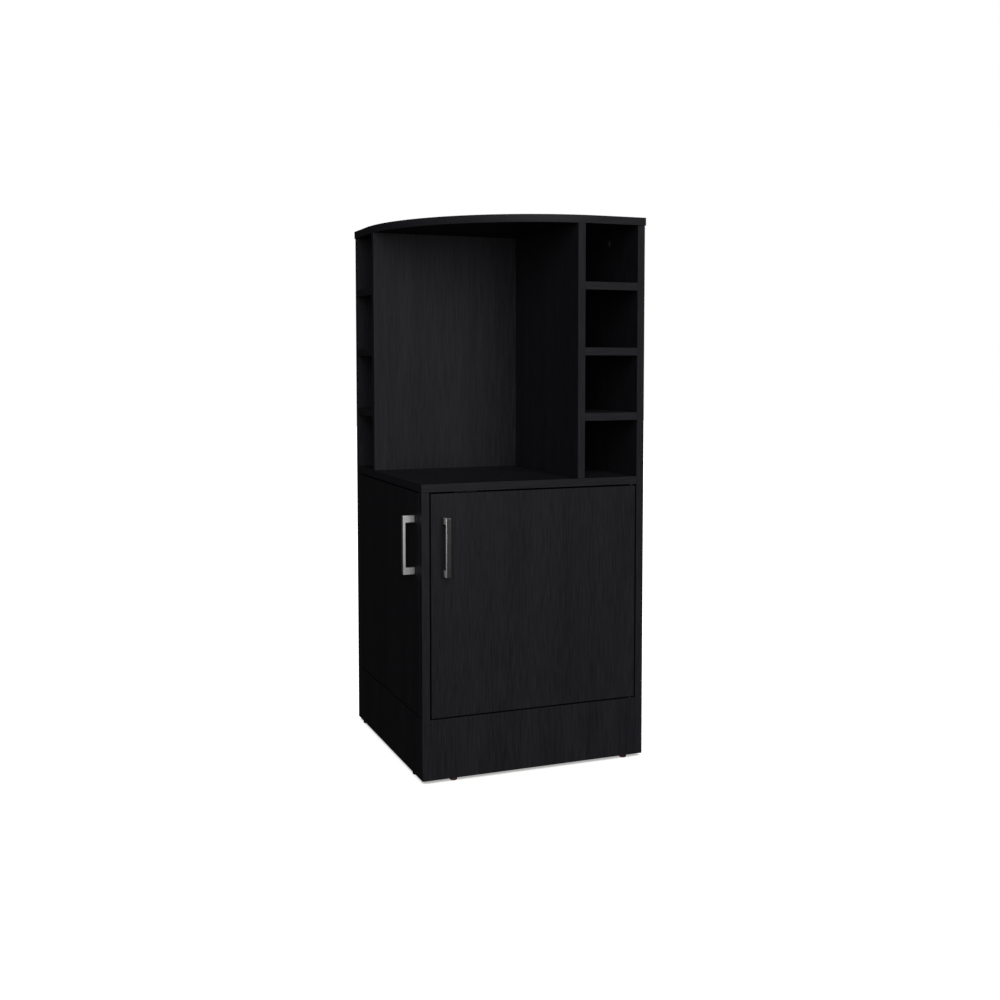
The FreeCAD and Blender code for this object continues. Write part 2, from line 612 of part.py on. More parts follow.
def make_cam():
    """A cam: a round plug with a slot that the bolt's head enters, and a driver slot in its face."""
    drum = doc.addObject("Part::Cylinder", "cam_drum")
    bind(drum, "Radius", "cam_diameter / 2")
    bind(drum, "Height", CAM_DEPTH)
    mouth = doc.addObject("Part::Box", "cam_mouth")
    bind(mouth, "Length", "cam_diameter")
    bind(mouth, "Width", "bolt_head + 2 * bolt_play")
    bind(mouth, "Height", "bolt_head + 2 * bolt_play")
    bind(mouth, "Placement.Base.x", "-bolt_head / 2 - bolt_play")
    bind(mouth, "Placement.Base.y", "-bolt_head / 2 - bolt_play")
    bind(mouth, "Placement.Base.z", "board / 2 - bolt_head / 2 - bolt_play")
    driver = doc.addObject("Part::Box", "cam_driver_slot")
    bind(driver, "Length", "cam_diameter / 2")
    bind(driver, "Width", "cam_diameter / 10")
    bind(driver, "Height", f"{CAM_DEPTH} / 6")
    bind(driver, "Placement.Base.x", "-cam_diameter / 4")
    bind(driver, "Placement.Base.y", "-cam_diameter / 20")
    opened = doc.addObject("Part::Cut", "cam_opened")
    opened.Base = drum
    opened.Tool = mouth
    cam = doc.addObject("Part::Cut", "cam_pattern")
    cam.Base = opened
    cam.Tool = driver
    return cam


group("cam_locks", make_cam(), side_cams + back_cams + right_cams + left_cams)

bolt = turned_piece("bolt_pattern", [
    ("0", "-cam_drop - bolt_head / 2"), ("bolt_head / 2", "-cam_drop - bolt_head / 2"),
    ("bolt_head / 2", "-cam_drop"), ("bolt_head / 4", "-cam_drop"), ("bolt_head / 4", "-cam_drop / 2"),
    ("bolt_diameter / 2", "-cam_drop / 2"), ("bolt_diameter / 2", "bolt_thread"), ("0", "bolt_thread")])
group("cam_bolts", bolt, side_bolts + back_bolts + right_bolts + left_bolts)

glide = turned_piece("glide_pattern", [
    ("0", "-glide_height"), ("glide_diameter / 2 - glide_height / 4", "-glide_height"),
    ("glide_diameter / 2", "-glide_height * 3 / 4"), ("glide_diameter / 2", "0"),
    ("glide_pin / 2", "0"), ("glide_pin / 2", "glide_pin_length - glide_pin"),
    ("0", "glide_pin_length")])
group("floor_glides", glide, front_glides + left_glides + side_glides + back_glides)

# ---- doors and what they carry ----------------------------------------------------------------

pin = turned_piece("pin_pattern", [
    ("0", "-pin_in_door"), ("pin_diameter / 2", "-pin_in_door"), ("pin_diameter / 2", "0"),
    ("collar_diameter / 2", "0"), ("collar_diameter / 2", COLLAR_HEIGHT),
    ("pin_diameter / 2", COLLAR_HEIGHT), ("pin_diameter / 2", "door_gap + pin_in_bush"),
    ("0", "door_gap + pin_in_bush")])

bush = turned_piece("bush_pattern", [
    (f"{BUSH_BORE} / 2", "-bush_flange"), ("collar_diameter / 2", "-bush_flange"),
    ("collar_diameter / 2", "0"), (f"{BUSH_OUTER} / 2", "0"), (f"{BUSH_OUTER} / 2", BUSH_DEPTH),
    ("0", BUSH_DEPTH), ("0", "pin_in_bush + fit_gap"), (f"{BUSH_BORE} / 2", "pin_in_bush + fit_gap")])
group("pivot_bushes", bush, front.top_bush + front.foot_bush + left.top_bush + left.foot_bush)


def make_handle():
    """A bridge handle for the front face: a square bar on two legs.

    Its own origin is at the lower leg's middle, on the bar's outer face.
    """
    body = doc.addObject("PartDesign::Body", "handle_pattern")
    outline = sketch_on(body, "XY_Plane", "-handle_leg / 2")
    draw_rectangle(outline, "handle_bar", "handle_projection", centred=True)
    bar = body.newObject("PartDesign::Pad", "handle_bar_pad")
    bar.Profile = outline
    bind(bar, "Length", "handle_pitch + handle_leg")
    window = sketch_on(body, "YZ_Plane", "-handle_bar / 2")
    draw_rectangle(window, "handle_projection - handle_thickness", "handle_pitch - handle_leg",
                   "handle_thickness", "handle_leg / 2")
    cut(body, window, "handle_bar", True)
    threads = sketch_on(body, "XZ_Plane", "-handle_projection")
    draw_circles(threads, "handle_screw + 2 * fit_gap", [("0", "0"), ("0", "handle_pitch")])
    sockets = cut(body, threads, "handle_thread + hole_spare", True)
    doc.recompute()
    outer_edges = [f"Edge{number}" for number, edge in enumerate(sockets.Shape.Edges, start=1)
                   if abs(edge.BoundBox.YMax) < TINY]
    softened = body.newObject("PartDesign::Fillet", "handle_soft_edges")
    softened.Base = (sockets, outer_edges)
    bind(softened, "Radius", "handle_thickness / 6")
    return body


handle = make_handle()
handle_screw = turned_piece("handle_screw_pattern", [
    ("0", "-handle_screw / 2"), ("handle_screw * 3 / 4", "-handle_screw / 2"),
    ("handle_screw", "-handle_screw / 5"), ("handle_screw", "0"), ("handle_screw / 2", "0"),
    ("handle_screw / 2", "board + handle_thread"), ("0", "board + handle_thread")])
small_screw = turned_piece("small_screw_pattern", [
    ("0", "-small_screw / 2"), ("small_screw * 3 / 4", "-small_screw / 2"),
    ("small_screw", "-small_screw / 4"), ("small_screw", "0"), ("small_screw / 2", "0"),
    ("small_screw / 2", "small_screw_length - small_screw"), ("0", "small_screw_length")])

for side in SIDES:
    block(f"{side.name}_door", side.corner, side.size, [
        ("top", PIN_HOLE, "pin_in_door + hole_spare", side.pins[:1]),
        ("bottom", PIN_HOLE, "pin_in_door + hole_spare", side.pins[1:]),
        (side.inner_face, "handle_screw + 2 * fit_gap", THROUGH, side.handle_screws),
        (side.inner_face, SMALL_HOLE, "small_screw_length", side.strike_screws)])
    block(f"{side.name}_strike_plate", side.strike_corner, side.strike_size, [
        (side.inner_face, SMALL_HOLE, "strike_thickness + fit_gap", side.strike_screws)])
    group(f"{side.name}_pivot_pins", pin, side.pins)
    group(f"{side.name}_handle", handle, side.handle)
    group(f"{side.name}_handle_screws", handle_screw, side.handle_screws)
    group(f"{side.name}_strike_screws", small_screw, side.strike_screws)


def make_catch():
    """A magnetic catch's case, with a pocket for the magnet in front and a screw hole in each ear."""
    body = doc.addObject("PartDesign::Body", "catch_pattern")
    outline = sketch_on(body, "XY_Plane")
    draw_rectangle(outline, "catch_width", "catch_depth", centred=True)
    case = body.newObject("PartDesign::Pad", "catch_case")
    case.Profile = outline
    bind(case, "Length", "catch_height")
    pocket = sketch_on(body, "XZ_Plane")
    draw_rectangle(pocket, "magnet_width + 2 * fit_gap", "magnet_height + 2 * fit_gap",
                   y="(catch_height - magnet_height) / 2 - fit_gap", centred=True)
    cut(body, pocket, "magnet_depth + fit_gap", False)
    ears = sketch_on(body, "XY_Plane")
    holes = [ears.addGeometry(Part.Circle(FreeCAD.Vector(x, 1, 0), UP, 0.5)) for x in (-2, 2)]
    ears.addConstraint(Sketcher.Constraint("Symmetric", holes[0], 3, holes[1], 3, -2))
    ears.addConstraint(Sketcher.Constraint("Equal", *holes))
    hold(ears, "Diameter", holes[0], by=SMALL_HOLE)
    hold(ears, "DistanceX", holes[0], 3, holes[1], 3, by=EAR_PITCH)
    hold(ears, "DistanceY", -1, 1, holes[0], 3, by="catch_depth / 2")
    cut(body, ears, "catch_height + fit_gap", True)
    return body


def make_magnet():
    """The magnet with its pole plates, flush with the front of the catch's case."""
    body = doc.addObject("PartDesign::Body", "magnet_pattern")
    outline = sketch_on(body, "XY_Plane", "(catch_height - magnet_height) / 2")
    draw_rectangle(outline, "magnet_width", "magnet_depth", centred=True)
    bar = body.newObject("PartDesign::Pad", "magnet_bar")
    bar.Profile = outline
    bind(bar, "Length", "magnet_height")
    return body


group("catch_cases", make_catch(), front.catch + left.catch)
group("catch_magnets", make_magnet(), front.catch + left.catch)
group("catch_screws", small_screw, catch_screws)

# ---- check, then write ------------------------------------------------------------------------

doc.recompute()
for thing in doc.Objects:
    if "Invalid" in thing.State or "Error" in thing.State:
        raise RuntimeError(f"{thing.Label} failed: {thing.State}")
    if thing.TypeId == "PartDesign::Pocket":
        if thing.BaseFeature.Shape.Volume - thing.Shape.Volume < LEAST_CUT:
            raise RuntimeError(f"{thing.Label} cuts nothing")
os.makedirs("parts", exist_ok=True)
for piece in pieces:
    shape = piece.Shape
    if shape.isNull() or not shape.isValid():
        raise RuntimeError(f"{piece.Label} has no valid shape")
    shape.exportStep(f"parts/{piece.Label}.step")
    print(piece.Label, len(shape.Solids), round(shape.Volume, 1))
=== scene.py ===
import json
import math

import bmesh
import bpy
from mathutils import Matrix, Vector


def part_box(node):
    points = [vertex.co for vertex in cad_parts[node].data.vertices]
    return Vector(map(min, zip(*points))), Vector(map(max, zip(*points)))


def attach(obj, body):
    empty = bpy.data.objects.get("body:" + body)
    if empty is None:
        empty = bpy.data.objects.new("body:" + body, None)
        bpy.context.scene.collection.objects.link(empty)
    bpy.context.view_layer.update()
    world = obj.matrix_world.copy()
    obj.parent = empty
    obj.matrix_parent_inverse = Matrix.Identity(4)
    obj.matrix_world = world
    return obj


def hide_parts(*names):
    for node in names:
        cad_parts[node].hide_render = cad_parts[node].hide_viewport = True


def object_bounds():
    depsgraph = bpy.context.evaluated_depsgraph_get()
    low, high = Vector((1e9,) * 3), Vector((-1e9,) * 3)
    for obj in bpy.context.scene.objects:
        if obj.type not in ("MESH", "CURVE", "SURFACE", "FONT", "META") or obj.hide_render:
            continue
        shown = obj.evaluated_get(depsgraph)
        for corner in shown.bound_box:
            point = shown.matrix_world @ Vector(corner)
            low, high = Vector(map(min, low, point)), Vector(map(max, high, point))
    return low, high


# A corner bar cabinet of black wenge-decor board: eased, edge-banded boards round drilled CAD
# boards, bridge handles, and the hardware that shows when the doors are open or from behind.

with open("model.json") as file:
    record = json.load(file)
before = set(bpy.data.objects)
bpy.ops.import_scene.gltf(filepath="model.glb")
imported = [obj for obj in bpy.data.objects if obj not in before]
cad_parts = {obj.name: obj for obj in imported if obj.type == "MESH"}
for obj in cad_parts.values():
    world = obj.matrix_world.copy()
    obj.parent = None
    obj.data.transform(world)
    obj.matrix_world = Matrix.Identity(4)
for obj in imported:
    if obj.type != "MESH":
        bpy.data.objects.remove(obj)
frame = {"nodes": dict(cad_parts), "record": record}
CAD_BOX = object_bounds()
NODES = frame["nodes"]
BODIES = frame["record"]["behaviour"]["bodies"]

MM = 0.001
AXES = "xyz"
LOW, HIGH, MIXED = 6, 7, 2     # a Mix node's two colour inputs and its colour output

# How the boards are finished, and how their faces are told apart.
EASE = 0.6 * MM                # the rounding that the trimmer leaves on an edge band
EASE_STEPS = 3                 # the flats that stand for that rounding
WELD = 0.002 * MM              # CAD vertices closer than this are one
NEAR = 0.02 * MM               # a point this close to a board's limits lies on them
FLAT = 0.99999                 # the least part of a normal along an axis for a face to be flat
BOARD_CREASE = 40              # degrees at which a board's shading breaks
BANDS, BARE = 3, 6             # where the edge bands and the chipboard stand in a board's slots

# The studio.
AIM = Vector((0, 0, 0.5))      # the middle of the cabinet, that the lights point at
WHITE = (1, 1, 1, 1)


# ---- colours and nodes ------------------------------------------------------------------------

def paint(code):
    """Turn an sRGB hex colour into linear RGBA."""
    values = [int(code[i:i + 2], 16) / 255 for i in (1, 3, 5)]
    return (*[v / 12.92 if v <= 0.04045 else ((v + 0.055) / 1.055) ** 2.4 for v in values], 1.0)


def set_inputs(tree, node, inputs):
    """Link each input that is given a socket, and set every other one on the input itself."""
    for name, value in inputs.items():
        if isinstance(value, bpy.types.NodeSocket):
            tree.links.new(value, node.inputs[name])
        else:
            node.inputs[name].default_value = value


def add(tree, kind, inputs=None, **settings):
    """Add a node with its settings and with its inputs set or linked."""
    node = tree.nodes.new(kind)
    for name, value in settings.items():
        setattr(node, name, value)
    set_inputs(tree, node, inputs or {})
    return node


def new_material(name):
    """Start a material and return it with its node tree, its shader and its object coordinates."""
    material = bpy.data.materials.new(name)
    material.use_nodes = True
    tree = material.node_tree
    shader = next(node for node in tree.nodes if node.type == "BSDF_PRINCIPLED")
    place = add(tree, "ShaderNodeTexCoord").outputs["Object"]
    return material, tree, shader, place


def per_metre(size_mm):
    """How many times a pattern of this size in millimetres repeats in a metre."""
    return 1 / (size_mm * MM)


# ---- materials --------------------------------------------------------------------------------

def wenge_decor(axis, banded=False):
    """Melamine-faced board with a printed black wenge decor, pressed between textured plates.

    The print's fine dark and pale strands run along one axis, the plates leave shallow pores, and
    the resin skin gives a soft, wide sheen. The edge band carries the same print, a little calmer
    and smoother, on extruded ABS.
    """
    name = f"{'wenge_abs_band' if banded else 'wenge_melamine'}_{AXES[axis]}"
    dark, pale = ("#1c1b1f", "#29282d") if banded else ("#17161a", "#29282c")
    pore_relief = 0.25 if banded else 0.6
    strand_mm = 2.4            # strands are 1 mm wide in the decor, drawn coarser so that they show
    strand_length = 22.0       # times as long as they are wide
    strand_share = 0.75        # of the tone, and broad drifts across the wood give the rest
    drift_mm = 40
    pore_mm = 1.1              # pores are 0.3 mm wide, drawn coarser so that they show
    material, tree, shader, place = new_material(name)
    cut_from = add(tree, "ShaderNodeAttribute", attribute_name="cut_from").outputs["Vector"]
    moved = add(tree, "ShaderNodeVectorMath", {0: place, 1: cut_from}, operation="ADD").outputs[0]
    squeeze = Vector((1, 1, 1))
    squeeze[axis] = 1 / strand_length
    along = add(tree, "ShaderNodeMapping", {"Vector": moved, "Scale": squeeze}).outputs[0]
    drift = add(tree, "ShaderNodeTexNoise", {"Vector": along, "Scale": per_metre(drift_mm),
                                             "Detail": 2.0})
    strands = add(tree, "ShaderNodeTexNoise", {"Vector": along, "Scale": per_metre(strand_mm),
                                               "Detail": 4.0, "Roughness": 0.62,
                                               "Distortion": 0.25})
    pores = add(tree, "ShaderNodeTexNoise", {"Vector": along, "Scale": per_metre(pore_mm),
                                             "Detail": 2.0})
    drifted = add(tree, "ShaderNodeMath", {0: drift.outputs["Fac"], 1: 1 - strand_share},
                  operation="MULTIPLY").outputs[0]
    wood = add(tree, "ShaderNodeMath", {0: strands.outputs["Fac"], 1: strand_share, 2: drifted},
               operation="MULTIPLY_ADD").outputs[0]
    tone = add(tree, "ShaderNodeMapRange", {"Value": wood, "From Min": 0.34, "From Max": 0.66})
    colour = add(tree, "ShaderNodeMix",
                 {"Factor": tone.outputs[0], LOW: paint(dark), HIGH: paint(pale)},
                 data_type="RGBA")
    pressed = add(tree, "ShaderNodeMapRange", {"Value": pores.outputs["Fac"], "From Min": 0.36,
                                               "From Max": 0.5})
    bump = add(tree, "ShaderNodeBump", {"Height": pressed.outputs[0], "Distance": 0.05 * MM,
                                        "Strength": pore_relief})
    rough = add(tree, "ShaderNodeMapRange", {"Value": strands.outputs["Fac"], "To Min": 0.44,
                                             "To Max": 0.60})
    set_inputs(tree, shader, {"Base Color": colour.outputs[MIXED], "Normal": bump.outputs[0],
                              "Roughness": rough.outputs[0], "IOR": 1.5,
                              "Specular IOR Level": 0.12})
    return material


def raw_chipboard():
    """Raw chipboard: pressed and glued wood flakes, laid bare by the drill, pale and rough."""
    flake_mm = 2.5
    grit_mm = 0.8
    material, tree, shader, place = new_material("raw_chipboard")
    flakes = add(tree, "ShaderNodeTexVoronoi", {"Vector": place, "Scale": per_metre(flake_mm)})
    grit = add(tree, "ShaderNodeTexNoise", {"Vector": place, "Scale": per_metre(grit_mm),
                                            "Detail": 3.0})
    wood = add(tree, "ShaderNodeMix", {"Factor": 0.5, "A": flakes.outputs["Distance"],
                                       "B": grit.outputs["Fac"]}).outputs[0]
    tone = add(tree, "ShaderNodeMapRange", {"Value": wood, "From Min": 0.2, "From Max": 0.8})
    colour = add(tree, "ShaderNodeMix",
                 {"Factor": tone.outputs[0], LOW: paint("#7a5a38"), HIGH: paint("#cbaa7c")},
                 data_type="RGBA")
    bump = add(tree, "ShaderNodeBump", {"Height": wood, "Distance": 0.3 * MM, "Strength": 0.7})
    set_inputs(tree, shader, {"Base Color": colour.outputs[MIXED], "Normal": bump.outputs[0],
                              "Roughness": 0.85})
    return material


def satin_nickel():
    """Zinc casting, brushed lengthwise and nickel plated: a soft grey metal with long hairlines."""
    hairline_mm = 0.35         # hairlines are 0.1 mm wide, drawn coarser so that they show
    hairline_length = 60       # times as long as they are wide
    haze_mm = 18
    material, tree, shader, place = new_material("satin_nickel")
    drawn = add(tree, "ShaderNodeMapping", {"Vector": place,
                                            "Scale": (1.0, 1.0, 1 / hairline_length)})
    lines = add(tree, "ShaderNodeTexNoise", {"Vector": drawn.outputs[0],
                                             "Scale": per_metre(hairline_mm), "Detail": 3.0})
    haze = add(tree, "ShaderNodeTexNoise", {"Vector": place, "Scale": per_metre(haze_mm),
                                            "Detail": 2.0})
    tone = add(tree, "ShaderNodeMapRange", {"Value": haze.outputs["Fac"], "From Min": 0.3,
                                            "From Max": 0.7})
    colour = add(tree, "ShaderNodeMix",
                 {"Factor": tone.outputs[0], LOW: paint("#b2b2b1"), HIGH: paint("#c1c1c0")},
                 data_type="RGBA")
    rough = add(tree, "ShaderNodeMapRange", {"Value": lines.outputs["Fac"], "To Min": 0.34,
                                             "To Max": 0.48})
    bump = add(tree, "ShaderNodeBump", {"Height": lines.outputs["Fac"], "Distance": 0.02 * MM,
                                        "Strength": 0.5})
    set_inputs(tree, shader, {"Base Color": colour.outputs[MIXED], "Metallic": 1.0,
                              "Anisotropic": 0.3, "Roughness": rough.outputs[0],
                              "Normal": bump.outputs[0]})
    return material


def zinc_plate():
    """Steel wire and sheet, bright zinc plated: pale, faintly blue, with cloudy passivation."""
    cloud_mm = 3
    material, tree, shader, place = new_material("zinc_plated_steel")
    cloud = add(tree, "ShaderNodeTexNoise", {"Vector": place, "Scale": per_metre(cloud_mm),
                                             "Detail": 3.0})
    tone = add(tree, "ShaderNodeMapRange", {"Value": cloud.outputs["Fac"], "From Min": 0.3,
                                            "From Max": 0.8})
    colour = add(tree, "ShaderNodeMix",
                 {"Factor": tone.outputs[0], LOW: paint("#aeb4ba"), HIGH: paint("#c9c3ae")},
                 data_type="RGBA")
    rough = add(tree, "ShaderNodeMapRange", {"Value": cloud.outputs["Fac"], "To Min": 0.22,
                                             "To Max": 0.4})
    set_inputs(tree, shader, {"Base Color": colour.outputs[MIXED], "Metallic": 1.0,
                              "Roughness": rough.outputs[0]})
    return material


def black_oxide():
    """Turned steel, blackened in a hot oxide bath: nearly black, cloudy, with an oil sheen."""
    cloud_mm = 0.6
    material, tree, shader, place = new_material("black_oxide_steel")
    cloud = add(tree, "ShaderNodeTexNoise", {"Vector": place, "Scale": per_metre(cloud_mm),
                                             "Detail": 3.0})
    tone = add(tree, "ShaderNodeMapRange", {"Value": cloud.outputs["Fac"], "From Min": 0.3,
                                            "From Max": 0.7})
    colour = add(tree, "ShaderNodeMix",
                 {"Factor": tone.outputs[0], LOW: paint("#151516"), HIGH: paint("#242425")},
                 data_type="RGBA")
    set_inputs(tree, shader, {"Base Color": colour.outputs[MIXED], "Metallic": 1.0,
                              "Roughness": 0.45})
    return material


def cast_zinc():
    """Raw zinc die casting: dull grey metal with the fine grain of the die."""
    grain_mm = 0.7             # the grain is 0.2 mm across, drawn coarser so that it shows
    material, tree, shader, place = new_material("cast_zinc")
    grain = add(tree, "ShaderNodeTexNoise", {"Vector": place, "Scale": per_metre(grain_mm),
                                             "Detail": 3.0})
    tone = add(tree, "ShaderNodeMapRange", {"Value": grain.outputs["Fac"], "From Min": 0.3,
                                            "From Max": 0.7})
    colour = add(tree, "ShaderNodeMix",
                 {"Factor": tone.outputs[0], LOW: paint("#83868a"), HIGH: paint("#a7a9ac")},
                 data_type="RGBA")
    bump = add(tree, "ShaderNodeBump", {"Height": grain.outputs["Fac"], "Distance": 0.04 * MM,
                                        "Strength": 0.6})
    set_inputs(tree, shader, {"Base Color": colour.outputs[MIXED], "Metallic": 1.0,
                              "Roughness": 0.5, "Normal": bump.outputs[0]})
    return material


def beech():
    """Bare beech, turned and pressed to a dowel: warm, pale and matt, with small darker flecks."""
    fleck_mm = 0.9
    material, tree, shader, place = new_material("turned_beech")
    fleck = add(tree, "ShaderNodeTexNoise", {"Vector": place, "Scale": per_metre(fleck_mm),
                                             "Detail": 2.0})
    tone = add(tree, "ShaderNodeMapRange", {"Value": fleck.outputs["Fac"], "From Min": 0.35,
                                            "From Max": 0.6})
    colour = add(tree, "ShaderNodeMix",
                 {"Factor": tone.outputs[0], LOW: paint("#a9784c"), HIGH: paint("#d3aa7b")},
                 data_type="RGBA")
    set_inputs(tree, shader, {"Base Color": colour.outputs[MIXED], "Roughness": 0.7})
    return material


def moulded_part(name, dark, pale, roughness):
    """A part pressed in a spark-eroded mould: one colour, faintly clouded, with a fine grain."""
    cloud_mm = 6
    grit_mm = 0.5              # the grain is 0.1 mm across, drawn coarser so that it shows
    material, tree, shader, place = new_material(name)
    cloud = add(tree, "ShaderNodeTexNoise", {"Vector": place, "Scale": per_metre(cloud_mm),
                                             "Detail": 2.0})
    grit = add(tree, "ShaderNodeTexNoise", {"Vector": place, "Scale": per_metre(grit_mm),
                                            "Detail": 2.0})
    tone = add(tree, "ShaderNodeMapRange", {"Value": cloud.outputs["Fac"], "From Min": 0.35,
                                            "From Max": 0.65})
    colour = add(tree, "ShaderNodeMix",
                 {"Factor": tone.outputs[0], LOW: paint(dark), HIGH: paint(pale)},
                 data_type="RGBA")
    bump = add(tree, "ShaderNodeBump", {"Height": grit.outputs["Fac"], "Distance": 0.02 * MM,
                                        "Strength": 0.5})
    set_inputs(tree, shader, {"Base Color": colour.outputs[MIXED], "Roughness": roughness,
                              "IOR": 1.46, "Normal": bump.outputs[0]})
    return material


FACE = [wenge_decor(axis) for axis in range(3)]
EDGE = [wenge_decor(axis, banded=True) for axis in range(3)]
CORE = raw_chipboard()
NICKEL = satin_nickel()
ZINC = zinc_plate()
CAST = cast_zinc()
BLACKED = black_oxide()
BEECH = beech()
# Injection-moulded polypropylene: reddish brown, with a satin gloss.
GLIDE = moulded_part("brown_polypropylene", "#3a1c13", "#52291c", roughness=0.42)
# Injection-moulded nylon: black, and a little duller.
NYLON = moulded_part("black_nylon", "#1b1b1c", "#262627", roughness=0.5)
# Ferrite powder, pressed and sintered: dark grey, and as dull as fired clay.
FERRITE = moulded_part("sintered_ferrite", "#2a2a2c", "#3a3a3c", roughness=0.7)


# ---- mesh helpers -----------------------------------------------------------------------------

def make_piece(name, mesh, materials, body, replaced):
    """Turn a bmesh into a piece that rides on a body and stands for its CAD nodes."""
    data = bpy.data.meshes.new(name)
    mesh.to_mesh(data)
    mesh.free()
    for material in materials:
        data.materials.append(material)
    piece = bpy.data.objects.new(name, data)
    bpy.context.scene.collection.objects.link(piece)
    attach(piece, body)
    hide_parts(*replaced)
    return piece


def shade(piece, angle):
    """Shade curves smooth and flats flat, and keep edges sharper than the angle."""
    data = piece.data
    data.shade_smooth()
    data.set_sharp_from_angle(angle=math.radians(angle))
    for face in data.polygons:
        face.use_smooth = max(abs(part) for part in face.normal) < FLAT


def body_of(node):
    """The body that a CAD node belongs to."""
    return next(body for body, members in BODIES.items() if node in members)


def rounded_corner(corner, before, after, radius, steps):
    """Points of an arc that rounds a right-angled corner between two directions."""
    centre = corner + radius * (before + after)
    return [centre - radius * (math.cos(t) * after + math.sin(t) * before)
            for t in (math.pi / 2 * i / steps for i in range(steps + 1))]


def prism(outline, push):
    """The solid between a closed outline and its copy a push away."""
    mesh = bmesh.new()
    base = mesh.faces.new([mesh.verts.new(point) for point in outline])
    pushed = bmesh.ops.extrude_face_region(mesh, geom=[base])
    bmesh.ops.translate(mesh, vec=push,
                        verts=[v for v in pushed["geom"] if isinstance(v, bmesh.types.BMVert)])
    bmesh.ops.recalc_face_normals(mesh, faces=mesh.faces)
    mesh.normal_update()
    return mesh


def soften(mesh, edges, width, steps):
    """Round some edges of a mesh."""
    bmesh.ops.bevel(mesh, geom=edges, offset=width, segments=steps, profile=0.5, affect="EDGES")


def edges_sharper_than(mesh, angle):
    """The edges where a mesh turns by more than an angle in degrees."""
    return [edge for edge in mesh.edges if edge.calc_face_angle(0) > math.radians(angle)]


# ---- boards -----------------------------------------------------------------------------------

# The way each board's grain runs on its faces: 0 along X, 1 along Y, 2 up.
GRAIN = {
    "right_side_panel": 2, "back_panel": 2, "right_partition": 2, "left_partition": 2,
    "front_door": 2, "left_door": 2, "corner_post": 2, "front_plinth": 2, "left_plinth": 2,
    "countertop": 0, "base_panel": 0,
    "right_shelf_1": 1, "right_shelf_2": 1, "right_shelf_3": 1,
    "left_shelf_1": 0, "left_shelf_2": 0, "left_shelf_3": 0,
}


def on_limits(point, low, high):
    """For each axis, whether a point is at a board's low end (-1), high end (1) or neither (0)."""
    return [(-1 if abs(point[a] - low[a]) < NEAR else 1 if abs(point[a] - high[a]) < NEAR else 0)
            for a in range(3)]


def is_outer_edge(edge, low, high):
    """Whether an edge lies along one of the twelve outer edges of a board."""
    ends = [on_limits(vertex.co, low, high) for vertex in edge.verts]
    return sum(a != 0 and a == b for a, b in zip(*ends)) >= 2


def dress_board(node, number):
    """A board with its drillings, eased outer edges, decor on its faces and band on its edges."""
    low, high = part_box(node)
    size = high - low
    thin = min(range(3), key=lambda axis: size[axis])
    mesh = bmesh.new()
    mesh.from_mesh(NODES[node].data)
    bmesh.ops.remove_doubles(mesh, verts=mesh.verts, dist=WELD)
    bmesh.ops.dissolve_limit(mesh, angle_limit=math.radians(1), verts=mesh.verts, edges=mesh.edges)
    soften(mesh, [edge for edge in mesh.edges if is_outer_edge(edge, low, high)], EASE, EASE_STEPS)
    skin = EASE + NEAR
    for face in mesh.faces:
        middle = face.calc_center_median()
        flat = max(range(3), key=lambda axis: abs(face.normal[axis]))
        outside = any(abs(middle[a] - low[a]) < skin or abs(middle[a] - high[a]) < skin
                      for a in range(3))
        if not outside:
            face.material_index = BARE
        elif flat == thin:
            face.material_index = GRAIN[node]
        else:
            others = [axis for axis in range(3) if axis != flat]
            face.material_index = BANDS + max(others, key=lambda axis: size[axis])
    piece = make_piece(f"dressed_{node}", mesh, FACE + EDGE + [CORE], body_of(node),
                       (node,))
    mark_cut(piece, number)
    shade(piece, BOARD_CREASE)


def mark_cut(piece, number):
    """Say where in the printed sheet a board was cut from, so that no two boards match."""
    first = (0.0, 0.2, 0.0)
    step = (0.731, 0.417, 1.139)    # metres from each board's place in the sheet to the next one's
    shift = [step[a] * number + first[a] for a in range(3)]
    place = piece.data.attributes.new("cut_from", "FLOAT_VECTOR", "POINT")
    place.data.foreach_set("vector", [value for _ in piece.data.vertices for value in shift])


def top_outline(low, high, turn):
    """The top panel's outline: a square whose near corner is a quarter circle."""
    arc = rounded_corner(Vector((low.x, low.y)), Vector((0, 1)), Vector((1, 0)), turn, steps=64)
    square = [(high.x, low.y), (high.x, high.y), (low.x, high.y)]
    return [(*point, low.z) for point in [*arc, *square]]


def dress_top(number):
    """The top panel, its rounded edge followed by one bent strip of edge band."""
    rim_turn = 45              # degrees, less than the square rim turns and more than the arc does
    low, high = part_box("top_panel")
    straight_from = min(vertex.co.x for vertex in NODES["top_panel"].data.vertices
                        if abs(vertex.co.y - low.y) < NEAR)
    mesh = prism(top_outline(low, high, straight_from - low.x), (0, 0, high.z - low.z))
    soften(mesh, edges_sharper_than(mesh, rim_turn), EASE, EASE_STEPS)
    for face in mesh.faces:
        across, along, up = [abs(part) for part in face.normal]
        if up > FLAT:
            face.material_index = 0
        else:
            face.material_index = BANDS + (1 if across > along else 0)
    piece = make_piece("dressed_top_panel", mesh, FACE + EDGE, body_of("top_panel"),
                       ("top_panel",))
    mark_cut(piece, number)
    shade(piece, BOARD_CREASE)


# ---- handles ----------------------------------------------------------------------------------

